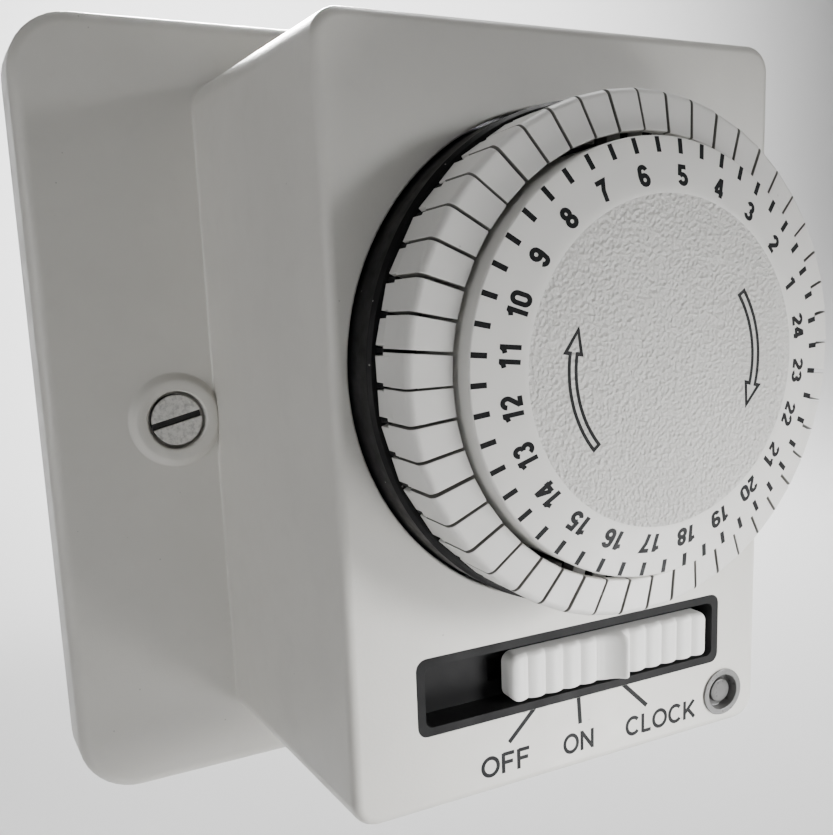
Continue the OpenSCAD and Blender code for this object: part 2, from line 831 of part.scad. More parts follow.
front_view() cover();
front_view() cover_screws();
front_view() screw_inserts();
front_view() backplate();
front_view() slot_bezel();
front_view() slide_knob();
front_view() slide_carriage();
front_view() indicator_lens();
front_view() neon_lamp();
front_view() front_plate();
front_view() back_plate();
front_view() plate_pillars();
front_view() pillar_screws();
front_view() frame_screws();
front_view() dial_bush();
front_view() dial_arbor();
front_view() dial_wheel();
front_view() clutch_spring();
front_view() arbor_clip();
front_view() tappet_carrier();
front_view() carrier_nut();
front_view() dial_cap();
front_view() middle_arbor();
front_view() middle_wheel();
front_view() motor_case();
front_view() motor_screws();
front_view() motor_pinion();
front_view() follower_lever();
front_view() lever_pin();
front_view() switch_case();
front_view() switch_plunger();
front_view() switch_blades();
front_view() switch_screws();
front_view() terminal_block();
front_view() terminal_barrels();
front_view() terminal_screws();
for (i = [1:HOURS]) front_view() tappet_pair(i);
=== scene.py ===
"""Looks of the wall-mounted 24-hour heating timer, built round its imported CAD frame.

Sizes are millimetres, measured facing the timer: x to the right, y up, z out from the wall.
"""

import math
import random

import bmesh
import bpy
from mathutils import Matrix, Vector


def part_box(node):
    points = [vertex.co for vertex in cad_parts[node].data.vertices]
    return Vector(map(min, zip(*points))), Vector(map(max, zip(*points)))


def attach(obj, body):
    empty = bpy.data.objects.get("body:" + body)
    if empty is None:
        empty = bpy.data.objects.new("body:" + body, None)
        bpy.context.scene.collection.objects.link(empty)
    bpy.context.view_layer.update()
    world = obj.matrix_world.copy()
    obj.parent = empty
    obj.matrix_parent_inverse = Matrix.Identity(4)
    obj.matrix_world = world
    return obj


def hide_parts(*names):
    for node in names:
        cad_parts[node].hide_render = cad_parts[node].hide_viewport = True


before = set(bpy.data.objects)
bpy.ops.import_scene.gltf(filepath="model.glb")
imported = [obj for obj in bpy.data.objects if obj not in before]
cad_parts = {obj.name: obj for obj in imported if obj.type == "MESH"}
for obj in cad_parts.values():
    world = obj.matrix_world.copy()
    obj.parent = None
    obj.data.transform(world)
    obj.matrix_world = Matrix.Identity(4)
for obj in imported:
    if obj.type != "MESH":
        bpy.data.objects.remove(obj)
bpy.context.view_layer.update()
MM = 0.001


def span(node):
    """Lowest and highest corner of a CAD node, in millimetres facing the timer."""
    low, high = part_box(node)
    return (
        Vector((low.x, low.z, -high.y)) / MM,
        Vector((high.x, high.z, -low.y)) / MM,
    )


# ---- Driving dimensions ----
# The cover: a raised box on a flange, both a little wider towards the wall
COVER_HIGH = span("cover")[1]
FACE = COVER_HIGH.z
FLANGE_D = 10
FLANGE_DRAFT = 0.8
FLANGE_HALF_W, FLANGE_HALF_H = COVER_HIGH.x - FLANGE_DRAFT, COVER_HIGH.y - FLANGE_DRAFT
FLANGE_CORNER, FLANGE_EDGE = 9.5, 2.0
BOX_HALF_W, BOX_HALF_H = 34.2, 50
BOX_CORNER, BOX_EDGE = 3.6, 1.35
WALL_DRAFT, WALL_T, ROOT_FILLET, BACK_EDGE = 3.5, 2.4, 0.4, 0.3
# A boss on the flange round each cover screw, with a bore for the screw's head and a hole for its shank
BOSS_ROOT_R, BOSS_FOOT_R, BOSS_SLOPE, BOSS_TOP_R = 8.2, 7.9, 1.5, 5.9
BOSS_H, BOSS_SINK = 1.4, 0.02
BORE_R, BORE_EDGE, BORE_MOUTH_R, SEAT_Z, SHANK_R = 4.75, 0.4, 5.25, 8.6, 2.25
# The holes in the face: how deep they are cut, their sizes, and how much their rims are rounded
HOLE_DEPTH = 6
DIAL_GAP, DIAL_RIM = 0.35, 0.35
SLOT_CORNER, SLOT_RIM = 1.6, 0.12
LENS_HOLE_R, LENS_RIM = 3.0, 0.2
# The dial: heights are above the face, MIDNIGHT is the angle of the 24 mark
CAP_LOW, CAP_HIGH = span("dial_cap")
DIAL_Y = (CAP_LOW.y + CAP_HIGH.y) / 2
CAP_R = CAP_HIGH.x
CAP_TOP = CAP_HIGH.z - FACE
CAP_FLAT_R, CAP_EDGE_TOP, CAP_EDGE, CAP_WALL = 19.05, 16.22, 0.35, 1.2
CARRIER_R = span("tappet_carrier")[1].x
MIDNIGHT = 9.08
HOURS = 24
PAIR_ANGLE = 360 / HOURS
# Cover screws, slide switch and indicator
SCREW_X = 44.4
SCREW_TOP = span("cover_screws")[1].z
SLOT_LOW, SLOT_HIGH = span("slot_bezel")
LENS_LOW, LENS_HIGH = span("indicator_lens")
LENS = (LENS_LOW + LENS_HIGH) / 2
KNOB_LOW, KNOB_HIGH = span("slide_knob")


def place(x, y, z):
    """A point facing the timer, in millimetres, as a point of the row frame in metres."""
    return Vector((x, -z, y)) * MM


def polar(r, degrees, centre=(0.0, 0.0)):
    """The point at radius r, degrees anticlockwise from the right."""
    a = math.radians(degrees)
    return centre[0] + r * math.cos(a), centre[1] + r * math.sin(a)


# ---- Meshes ----
def make(name, points, faces, materials, face_slots=None, smooth=40):
    """A mesh object from points facing the timer; edges sharper than smooth degrees stay sharp."""
    mesh = bpy.data.meshes.new(name)
    mesh.from_pydata([place(*p) for p in points], [], faces)
    obj = bpy.data.objects.new(name, mesh)
    bpy.context.scene.collection.objects.link(obj)
    for material in materials:
        mesh.materials.append(material)
    if face_slots:
        mesh.polygons.foreach_set("material_index", face_slots)
    outward(mesh)
    shade(obj, smooth)
    return obj


def outward(mesh):
    """Turns every face of a closed mesh outwards."""
    work = bmesh.new()
    work.from_mesh(mesh)
    bmesh.ops.recalc_face_normals(work, faces=work.faces)
    work.to_mesh(mesh)
    work.free()


def shade(obj, degrees):
    """Smooth shading, except across edges sharper than degrees."""
    obj.data.polygons.foreach_set("use_smooth", [True] * len(obj.data.polygons))
    obj.data.set_sharp_from_angle(angle=math.radians(degrees))


def even_shading(obj):
    """Keeps flats looking flat beside rounded edges."""
    even = obj.modifiers.new("even", "WEIGHTED_NORMAL")
    even.keep_sharp = True


def finish_edges(obj, width, segments=2, angle=35):
    """Rounds the sharp edges of a piece by a small width and keeps its flats flat."""
    bevel = obj.modifiers.new("edge", "BEVEL")
    bevel.width, bevel.segments = width * MM, segments
    bevel.limit_method, bevel.angle_limit = "ANGLE", math.radians(angle)
    bevel.use_clamp_overlap = True
    bevel.harden_normals = False
    even_shading(obj)


def outline(half_w, half_h, r, steps=10, centre=(0.0, 0.0)):
    """Points round a rectangle with round corners."""
    points = []
    for quarter in range(4):
        cx = (half_w - r) * (1 if quarter in (0, 3) else -1) + centre[0]
        cy = (half_h - r) * (1 if quarter < 2 else -1) + centre[1]
        for i in range(steps + 1):
            points.append(polar(r, 90 * quarter + 90 * i / steps, (cx, cy)))
    return points


def loft(name, rings, materials, smooth=40):
    """A closed solid through rings of points, each ring a list of (x, y) and its z."""
    count = len(rings[0][0])
    points = [(x, y, z) for ring, z in rings for x, y in ring]
    faces = [tuple(range(count))]
    for level in range(len(rings) - 1):
        a, b = level * count, (level + 1) * count
        for i in range(count):
            j = (i + 1) % count
            faces.append((a + i, a + j, b + j, b + i))
    faces.append(tuple(range(len(points) - count, len(points))))
    return make(name, points, faces, materials, smooth=smooth)


def lathe(name, profile, centre, materials, turns=96, slots=None, smooth=40):
    """A solid turned about the line through centre; profile is a list of (r, z)."""
    points, faces, face_slots = [], [], []
    rows = []
    for r, z in profile:
        if r < 1e-6:
            rows.append([len(points)] * turns)
            points.append((centre[0], centre[1], z))
        else:
            rows.append(list(range(len(points), len(points) + turns)))
            for i in range(turns):
                points.append((*polar(r, 360 * i / turns, centre), z))
    pairs = list(zip(rows, rows[1:]))
    if profile[0][0] > 1e-6:
        pairs.append((rows[-1], rows[0]))
    for k, (low, high) in enumerate(pairs):
        for i in range(turns):
            j = (i + 1) % turns
            corners = dict.fromkeys((low[i], low[j], high[j], high[i]))
            faces.append(tuple(corners))
            face_slots.append(slots[k] if slots else 0)
    return make(name, points, faces, materials, face_slots, smooth)


def arc(centre, r, start, end, steps=6):
    """Points of a circle's arc from start to end degrees."""
    return [polar(r, start + (end - start) * i / steps, centre) for i in range(steps + 1)]


def combine(obj, tool, operation):
    """Cuts tool from obj or adds it to obj, and deletes the tool."""
    change = obj.modifiers.new("cut", "BOOLEAN")
    change.operation, change.solver, change.object = operation, "EXACT", tool
    done = bpy.data.meshes.new_from_object(
        obj.evaluated_get(bpy.context.evaluated_depsgraph_get())
    )
    obj.modifiers.clear()
    old, obj.data = obj.data, done
    bpy.data.meshes.remove(old)
    bpy.data.objects.remove(tool)


def eased(r, steps=8):
    """A rounded edge of radius r, from front to side: how far below the front, how far in from the side."""
    angles = [math.radians(90 - 90 * i / steps) for i in range(steps + 1)]
    return [(r * (1 - math.sin(a)), r * (1 - math.cos(a))) for a in angles]


# ---- Materials ----
class Recipe:
    """A procedural material under construction; every pattern is in real millimetres."""

    def __init__(self, name, colour, rough, metallic=0.0):
        self.material = bpy.data.materials.new(name)
        self.material.use_nodes = True
        self.tree = self.material.node_tree
        self.shader = self.tree.nodes["Principled BSDF"]
        self.shader.inputs["Metallic"].default_value = metallic
        self.shader.inputs["Roughness"].default_value = rough
        self.shader.inputs["Base Color"].default_value = (*colour, 1)
        self.spot = self.node("ShaderNodeTexCoord").outputs["Object"]
        self.bump = None

    def node(self, kind, **settings):
        made = self.tree.nodes.new(kind)
        for key, value in settings.items():
            setattr(made, key, value)
        return made

    def link(self, source, target):
        self.tree.links.new(source, target)

    def noise(self, size, detail=3.0, stretch=(1, 1, 1), rough=0.5):
        """Noise whose blobs are about size millimetres wide."""
        scaled = self.node("ShaderNodeMapping")
        scaled.inputs["Scale"].default_value = stretch
        self.link(self.spot, scaled.inputs["Vector"])
        made = self.node("ShaderNodeTexNoise")
        made.inputs["Scale"].default_value = 1 / (size * MM)
        made.inputs["Detail"].default_value = detail
        made.inputs["Roughness"].default_value = rough
        self.link(scaled.outputs["Vector"], made.inputs["Vector"])
        return made.outputs["Fac"]

    def cells(self, size, feature="F1", smooth=None):
        """Distance from the middle of scattered cells about size millimetres wide."""
        made = self.node("ShaderNodeTexVoronoi", feature=feature)
        made.inputs["Scale"].default_value = 1 / (size * MM)
        if smooth is not None:
            made.inputs["Smoothness"].default_value = smooth
        self.link(self.spot, made.inputs["Vector"])
        return made.outputs["Distance"]

    def remap(self, value, low, high, to_low, to_high):
        """value stretched from low and high to to_low and to_high, and held there beyond them."""
        made = self.node("ShaderNodeMapRange")
        for key, number in zip(
            ("From Min", "From Max", "To Min", "To Max"), (low, high, to_low, to_high)
        ):
            made.inputs[key].default_value = number
        self.link(value, made.inputs["Value"])
        return made.outputs["Result"]

    def math(self, operation, a, b):
        made = self.node("ShaderNodeMath", operation=operation)
        for socket, value in zip(made.inputs, (a, b)):
            if isinstance(value, (int, float)):
                socket.default_value = value
            else:
                self.link(value, socket)
        return made.outputs["Value"]

    def tint(self, factor, colour):
        """The base colour turns to colour where factor is 1."""
        made = self.node("ShaderNodeMix", data_type="RGBA")
        base = self.shader.inputs["Base Color"]
        made.inputs["A"].default_value = tuple(base.default_value)
        if base.is_linked:
            self.link(base.links[0].from_socket, made.inputs["A"])
        made.inputs["B"].default_value = (*colour, 1)
        self.link(factor, made.inputs["Factor"])
        self.link(made.outputs["Result"], base)

    def height(self, value, depth, strength=1.0):
        """Relief of depth millimetres, added to the relief already there."""
        made = self.node("ShaderNodeBump")
        made.inputs["Strength"].default_value = strength
        made.inputs["Distance"].default_value = depth * MM
        self.link(value, made.inputs["Height"])
        if self.bump:
            self.link(self.bump, made.inputs["Normal"])
        self.bump = made.outputs["Normal"]
        self.link(self.bump, self.shader.inputs["Normal"])

    def recess(self, shallow, deep):
        """1 on what lies deeper than deep, 0 above shallow, both levels above the wall."""
        level = self.node("ShaderNodeSeparateXYZ")
        self.link(self.spot, level.inputs["Vector"])
        return self.remap(level.outputs["Y"], -shallow * MM, -deep * MM, 0, 1)

    def sheen_change(self, value, low, high):
        """Roughness that follows value, from low to high."""
        self.link(self.remap(value, 0.3, 0.7, low, high), self.shader.inputs["Roughness"])


def shade_of(colour, factor):
    """The same colour, darker."""
    return tuple(c * factor for c in colour)


def moulding(name, colour, rough, grain=0.35, grain_depth=0.012, soil=0.10, specks=0.0, gloss=0.5):
    """Injection-moulded plastic: fine mould grain, slow colour drift, handling marks, dust."""
    made = Recipe(name, colour, rough)
    made.shader.inputs["Specular IOR Level"].default_value = gloss
    drift = made.noise(22, detail=4)
    made.tint(made.remap(drift, 0.42, 0.75, 0, soil * 2.5), shade_of(colour, 0.72))
    blotch = made.noise(5, detail=5, rough=0.62)
    made.tint(made.remap(blotch, 0.55, 0.8, 0, soil), shade_of(colour, 0.6))
    if specks:
        dots = made.remap(made.cells(3.1), 0.03, 0.055, 1, 0)
        chance = made.remap(made.noise(6), 0.55, 0.6, 0, specks)
        made.tint(made.math("MULTIPLY", dots, chance), shade_of(colour, 0.35))
    made.height(made.noise(grain, detail=4, rough=0.6), grain_depth, 0.55)
    made.height(made.noise(9, detail=2), 0.05, 0.25)
    made.sheen_change(made.noise(4, detail=4, rough=0.6), rough - 0.07, rough + 0.09)
    return made


def metal(name, colour, rough, streak=(1, 1, 12), wear=0.5, dark=0.25):
    """Plated or plain metal with fine tool lines, scratches and dull patches."""
    made = Recipe(name, colour, rough, metallic=1.0)
    patches = made.noise(0.9, detail=6, rough=0.7)
    made.tint(made.remap(patches, 0.45, 0.75, 0, wear), shade_of(colour, dark))
    lines = made.noise(0.25, detail=3, stretch=streak)
    made.height(lines, 0.02, 0.5)
    made.height(made.noise(0.6, detail=5, rough=0.7), 0.04, 0.45)
    made.sheen_change(made.noise(0.7, detail=4, rough=0.65), rough - 0.1, rough + 0.2)
    return made


IVORY = (0.74, 0.725, 0.68)
WHITE = (0.80, 0.79, 0.76)
cover_plastic = moulding(
    "cover_plastic", IVORY, 0.36, grain=0.4, grain_depth=0.03, soil=0.10, specks=0.5
).material
backplate_plastic = moulding("backplate_plastic", (0.72, 0.71, 0.68), 0.55).material
tappet_plastic = moulding(
    "tappet_plastic", WHITE, 0.36, grain=0.3, grain_depth=0.006, soil=0.12, specks=0.4
).material
border_plastic = moulding(
    "border_plastic", (0.80, 0.79, 0.755), 0.42, grain=0.25, grain_depth=0.008, soil=0.06
).material
knob_plastic = moulding(
    "knob_plastic", (0.85, 0.845, 0.82), 0.38, grain=0.3, grain_depth=0.006, soil=0.05
).material
bezel_plastic = moulding(
    "bezel_plastic", (0.010, 0.010, 0.0105), 0.55, grain=0.3, grain_depth=0.02, gloss=0.18
).material
terminal_plastic = moulding("terminal_plastic", (0.78, 0.75, 0.66), 0.35).material
switch_plastic = moulding("switch_plastic", (0.03, 0.03, 0.03), 0.4).material
plunger_plastic = moulding("plunger_plastic", (0.45, 0.05, 0.04), 0.35).material


def grained_plastic():
    """The dial's centre: rounded leather-like grains about half a millimetre across."""
    colour = (0.70, 0.69, 0.66)
    made = Recipe("grained_plastic", colour, 0.5)
    made.tint(made.remap(made.noise(14, detail=4), 0.4, 0.75, 0, 0.3), shade_of(colour, 0.8))
    grains = made.cells(0.5, feature="SMOOTH_F1", smooth=0.5)
    pits = made.noise(0.34, detail=3, rough=0.6)
    made.height(made.math("ADD", grains, pits), 0.26, 1.0)
    made.height(made.noise(0.12, detail=2), 0.02, 0.5)
    made.sheen_change(made.noise(2.5, detail=4), 0.42, 0.62)
    return made.material


def black_plastic():
    """Black moulding with a dull sheen and pale dust caught on it."""
    made = Recipe("black_plastic", (0.008, 0.008, 0.0085), 0.42)
    made.shader.inputs["Specular IOR Level"].default_value = 0.2
    dust = made.remap(made.cells(1.7), 0.05, 0.09, 1, 0)
    here = made.remap(made.noise(2.4, detail=3), 0.52, 0.6, 0, 0.75)
    made.tint(made.math("MULTIPLY", dust, here), (0.5, 0.5, 0.48))
    made.tint(made.remap(made.noise(3, detail=5), 0.5, 0.8, 0, 0.08), (0.12, 0.12, 0.115))
    made.height(made.noise(0.35, detail=4), 0.02, 0.5)
    made.sheen_change(made.noise(2.5, detail=4), 0.36, 0.55)
    return made.material


def ink(name):
    """Pad-printed ink, thin in places."""
    made = Recipe(name, (0.012, 0.012, 0.013), 0.5)
    made.shader.inputs["Specular IOR Level"].default_value = 0.15
    thin = made.noise(0.35, detail=4, rough=0.7)
    made.tint(made.remap(thin, 0.55, 0.85, 0, 0.3), (0.08, 0.08, 0.08))
    made.sheen_change(made.noise(0.6, detail=3), 0.4, 0.6)
    return made.material


def lens_plastic():
    """Smoky lens: a mid-grey rim, a dark ring and a lighter middle that fade into each other."""
    made = Recipe("lens_plastic", (0.19, 0.188, 0.185), 0.34)
    made.shader.inputs["Transmission Weight"].default_value = 0.1
    made.shader.inputs["IOR"].default_value = 1.49
    flat = made.node("ShaderNodeVectorMath", operation="MULTIPLY")
    flat.inputs[1].default_value = (1, 0, 1)
    made.link(made.spot, flat.inputs[0])
    reach = made.node("ShaderNodeVectorMath", operation="DISTANCE")
    made.link(flat.outputs["Vector"], reach.inputs[0])
    reach.inputs[1].default_value = (LENS.x * MM, 0, LENS.y * MM)
    r = reach.outputs["Value"]
    inside = made.remap(r, 2.35 * MM, 2.85 * MM, 1, 0)
    made.tint(inside, (0.065, 0.064, 0.062))
    made.tint(made.remap(r, 0.9 * MM, 1.7 * MM, 1, 0), (0.13, 0.128, 0.125))
    made.tint(made.remap(r, 0.0, 0.8 * MM, 0.35, 0), (0.12, 0.12, 0.12))
    haze = made.noise(0.8, detail=5, rough=0.7)
    made.tint(made.remap(haze, 0.4, 0.8, 0, 0.5), (0.16, 0.155, 0.15))
    made.height(made.noise(0.35, detail=3), 0.02, 0.4)
    made.sheen_change(made.noise(0.8, detail=3), 0.25, 0.45)
    return made.material


def lamp_glass():
    """Clear glass of the neon bulb, slightly wavy."""
    made = Recipe("lamp_glass", (0.95, 0.86, 0.78), 0.05)
    made.shader.inputs["Transmission Weight"].default_value = 0.85
    made.height(made.noise(1.2), 0.01, 0.3)
    return made.material


def brass(name, rough):
    """Brass dulled in patches."""
    return metal(name, (0.72, 0.53, 0.24), rough, wear=0.45, dark=0.5).material


grained = grained_plastic()
black = black_plastic()
print_ink = ink("ink")
legend_ink = ink("legend_ink")
lens_material = lens_plastic()
lamp_material = lamp_glass()
screw_steel = metal(
    "screw_steel", (0.86, 0.85, 0.82), 0.42, streak=(1, 1, 3), wear=0.6, dark=0.35
).material
# The side faces of the tappets' lips, darkened with painted shade where the gaps between neighbours lie in
# shadow
tappet_gap_shade = moulding("tappet_gap_shade", (0.24, 0.235, 0.22), 0.6, gloss=0.2).material
# The cover screws, with painted shade down in their slots
cover_screw = metal("cover_screw_steel", (0.92, 0.91, 0.88), 0.45, streak=(1, 1, 3), wear=0.75, dark=0.4)
cover_screw.tint(cover_screw.recess(SCREW_TOP - 0.2, SCREW_TOP - 0.6), (0.08, 0.08, 0.08))
plate_steel = metal("plate_steel", (0.55, 0.56, 0.57), 0.34, wear=0.3, dark=0.5).material
spring_steel = metal("spring_steel", (0.30, 0.31, 0.34), 0.3, wear=0.3, dark=0.5).material
gear_brass = brass("gear_brass", 0.32)
turned_brass = brass("turned_brass", 0.24)

NODE_MATERIALS = {
    "cover_screws": cover_screw.material, "screw_inserts": turned_brass, "backplate": backplate_plastic,
    "slot_bezel": bezel_plastic, "slide_carriage": black, "indicator_lens": lens_material,
    "neon_lamp": lamp_material, "front_plate": plate_steel, "back_plate": plate_steel,
    "plate_pillars": turned_brass, "pillar_screws": screw_steel, "frame_screws": screw_steel,
    "dial_bush": turned_brass, "dial_arbor": plate_steel, "dial_wheel": gear_brass,
    "clutch_spring": spring_steel, "arbor_clip": spring_steel, "tappet_carrier": black,
    "carrier_nut": turned_brass, "middle_arbor": plate_steel, "middle_wheel": gear_brass,
    "motor_case": plate_steel, "motor_screws": screw_steel, "motor_pinion": plate_steel,
    "follower_lever": plate_steel, "lever_pin": turned_brass, "switch_case": switch_plastic,
    "switch_plunger": plunger_plastic, "switch_blades": gear_brass, "switch_screws": screw_steel,
    "terminal_block": terminal_plastic, "terminal_barrels": turned_brass,
    "terminal_screws": screw_steel,
}
# How far the sharp edges of the CAD pieces that show are rounded
EDGE_WIDTHS = {
    "cover_screws": 0.18, "slot_bezel": 0.12, "indicator_lens": 0.1, "tappet_carrier": 0.14,
    "backplate": 0.3, "motor_case": 0.3, "terminal_block": 0.3, "slide_carriage": 0.15,
    "front_plate": 0.12, "back_plate": 0.12,
}
for node_name, material in NODE_MATERIALS.items():
    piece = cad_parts[node_name]
    piece.data.materials.clear()
    piece.data.materials.append(material)
    if node_name in EDGE_WIDTHS:
        weld = piece.modifiers.new("weld", "WELD")
        weld.merge_threshold = 0.002 * MM
        flat = piece.modifiers.new("flat", "DECIMATE")
        flat.decimate_type, flat.angle_limit = "DISSOLVE", math.radians(0.5)
        finish_edges(piece, EDGE_WIDTHS[node_name])


# ---- Cover ----
def box_ring(z, inset=0.0, corner=BOX_CORNER):
    """A level of the raised box, spreading towards the wall."""
    spread = WALL_DRAFT * (FACE - z) / (FACE - FLANGE_D)
    half_w, half_h = BOX_HALF_W + spread - inset, BOX_HALF_H + spread - inset
    return outline(half_w, half_h, max(corner + spread * 0.25 - inset, 0.6)), z


def flange_ring(z, inset=0.0):
    """A level of the flange, spreading towards the wall."""
    spread = FLANGE_DRAFT * (FLANGE_D - z) / FLANGE_D
    half_w, half_h = FLANGE_HALF_W + spread - inset, FLANGE_HALF_H + spread - inset
    return outline(half_w, half_h, FLANGE_CORNER - inset), z


def cover_shell():
    """The cover before its holes: down the outside from the face, and up again inside the wall."""
    rings = [box_ring(FACE - below, inwards) for below, inwards in eased(BOX_EDGE)]
    rings += [box_ring(FLANGE_D + above, -outwards) for above, outwards in reversed(eased(ROOT_FILLET))]
    rings += [flange_ring(FLANGE_D - below, inwards) for below, inwards in eased(FLANGE_EDGE)]
    rings += [flange_ring(BACK_EDGE), flange_ring(0, BACK_EDGE)]
    rings += [flange_ring(0, WALL_T), flange_ring(FLANGE_D - WALL_T, WALL_T)]
    rings += [box_ring(FLANGE_D - WALL_T, WALL_T), box_ring(FACE - WALL_T, WALL_T)]
    return loft("cover_skin", rings, [cover_plastic])


def rim_cutter(name, ring_at, ease):
    """A cutter whose mouth flares by ease at the face, which leaves a rounded rim."""
    rings = [(ring_at(ease), FACE + 1)]
    rings += [(ring_at(inwards), FACE - below) for below, inwards in eased(ease, 5)]
    rings.append((ring_at(0), FACE - HOLE_DEPTH))
    return loft(name, rings, [cover_plastic])


def circle_ring(r, centre, steps=128):
    """Points round a circle."""
    return [polar(r, 360 * i / steps, centre) for i in range(steps)]


def dial_hole(wider):
    """Outline of the dial's hole, wider all round by wider."""
    return circle_ring(CARRIER_R + DIAL_GAP + wider, (0, DIAL_Y))


def slot_hole(wider):
    """Outline of the slide switch's hole."""
    middle = (SLOT_LOW + SLOT_HIGH) / 2
    half_w, half_h = (SLOT_HIGH.x - SLOT_LOW.x) / 2, (SLOT_HIGH.y - SLOT_LOW.y) / 2
    return outline(half_w + wider, half_h + wider, SLOT_CORNER + wider, 8, (middle.x, middle.y))


def lens_hole(wider):
    """Outline of the indicator's hole."""
    return circle_ring(LENS_HOLE_R + wider, (LENS.x, LENS.y), 64)


def boss_profile():
    """Section of a screw boss: a root in the flange, a soft slope and a flat top."""
    root, foot, top = FLANGE_D - 1, FLANGE_D - BOSS_SINK, FLANGE_D + BOSS_H
    slope = []
    for t in (i / 8 for i in range(9)):
        slope.append((BOSS_FOOT_R - BOSS_SLOPE * t, foot + (BOSS_H + BOSS_SINK) * t * t * (3 - 2 * t)))
    return [(0, root), (BOSS_ROOT_R, root), (BOSS_ROOT_R, foot), *slope, (BOSS_TOP_R, top), (0, top)]


def bore_profile():
    """Section cut from a boss: a rounded mouth, the bore down to the head's seat, and the shank's hole."""
    top = FLANGE_D + BOSS_H
    mouth = [(0, 2 * FLANGE_D), (BORE_MOUTH_R, 2 * FLANGE_D), (BORE_MOUTH_R, top + 0.05)]
    mouth += arc((BORE_R + BORE_EDGE, top - BORE_EDGE), BORE_EDGE, 90, 180, 5)
    return [*mouth, (BORE_R, SEAT_Z), (SHANK_R, SEAT_Z), (SHANK_R, -2), (0, -2)]


def build_cover():
    skin = cover_shell()
    for side in (-1, 1):
        centre = (side * SCREW_X, 0)
        combine(skin, lathe("boss", boss_profile(), centre, [cover_plastic]), "UNION")
        combine(skin, lathe("bore", bore_profile(), centre, [cover_plastic]), "DIFFERENCE")
    for name, ring_at, rim in (
        ("dial_hole", dial_hole, DIAL_RIM),
        ("slot_hole", slot_hole, SLOT_RIM),
        ("lens_hole", lens_hole, LENS_RIM),
    ):
        combine(skin, rim_cutter(name, ring_at, rim), "DIFFERENCE")
    shade(skin, 42)
    even_shading(skin)
    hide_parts("cover")
    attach(skin, "case")


build_cover()


# ---- Dial cap ----
def cap_height(r):
    """Height of the cap's front above the face at radius r."""
    if r <= CAP_FLAT_R:
        return CAP_TOP
    return CAP_TOP - (CAP_TOP - CAP_EDGE_TOP) * (r - CAP_FLAT_R) / (CAP_R - CAP_EDGE - CAP_FLAT_R)


def build_cap():
    """The cap: a grained flat middle, a cone down to its rounded rim, and a hollow behind."""
    top, rim = FACE + CAP_TOP, CAP_R - CAP_EDGE
    profile = [(0, top)] + [(CAP_FLAT_R * i / 4, top) for i in range(1, 4)] + [(CAP_FLAT_R - 0.25, top)]
    profile += [(r, FACE + cap_height(r)) for r in (CAP_FLAT_R + 0.2, 20.5, 22, 23.5)]
    profile += arc((rim, FACE + cap_height(rim) - CAP_EDGE), CAP_EDGE, 80, 0, 5)
    profile += [(CAP_R, FACE), (CAP_R - CAP_WALL, FACE), (CAP_R - CAP_WALL, top - 3), (0, top - 1.5)]
    slots = [0] * 4 + [1] * (len(profile) - 5)
    cap = lathe("dial_cap_skin", profile, (0, DIAL_Y), [grained, border_plastic], 192, slots, 50)
    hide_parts("dial_cap")
    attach(cap, "dial")


build_cap()

# Print stands just clear of its surface, and each stroke of a figure a layer above the last
PRINT_LIFT, LAYER = 0.012, 0.003
TICK_IN, TICK_OUT, TICK_WIDTH = 23.28, 25.02, 0.62
NUMBER_R, NUMBER_H, NUMBER_STROKE = 20.85, 2.32, 0.23


def print_on_cap(name, shapes):
    """Flat printed shapes, each a list of (x, y) outlines from the dial's centre, laid on the cap."""
    points, faces = [], []
    for shape in shapes:
        start = len(points)
        for x, y in shape:
            points.append((x, y + DIAL_Y, FACE + cap_height(math.hypot(x, y)) + PRINT_LIFT))
        faces.append(tuple(range(start, len(points))))
    obj = make(name, points, faces, [print_ink])
    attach(obj, "dial")


def bar(r_in, r_out, width, degrees, steps=4):
    """A radial bar, split along its length so that it follows the cone."""
    quads = []
    a = math.radians(degrees)
    across = Vector((-math.sin(a), math.cos(a))) * width / 2
    along = Vector((math.cos(a), math.sin(a)))
    for i in range(steps):
        r0, r1 = r_in + (r_out - r_in) * i / steps, r_in + (r_out - r_in) * (i + 1) / steps
        quads.append([tuple(along * r + across * s) for r, s in ((r0, -1), (r1, -1), (r1, 1), (r0, 1))])
    return quads


def bow(cx, cy, rx, ry, start, end, steps=14):
    """Points of an elliptical arc from start to end degrees."""
    turns = [math.radians(start + (end - start) * i / steps) for i in range(steps + 1)]
    return [(cx + rx * math.cos(t), cy + ry * math.sin(t)) for t in turns]


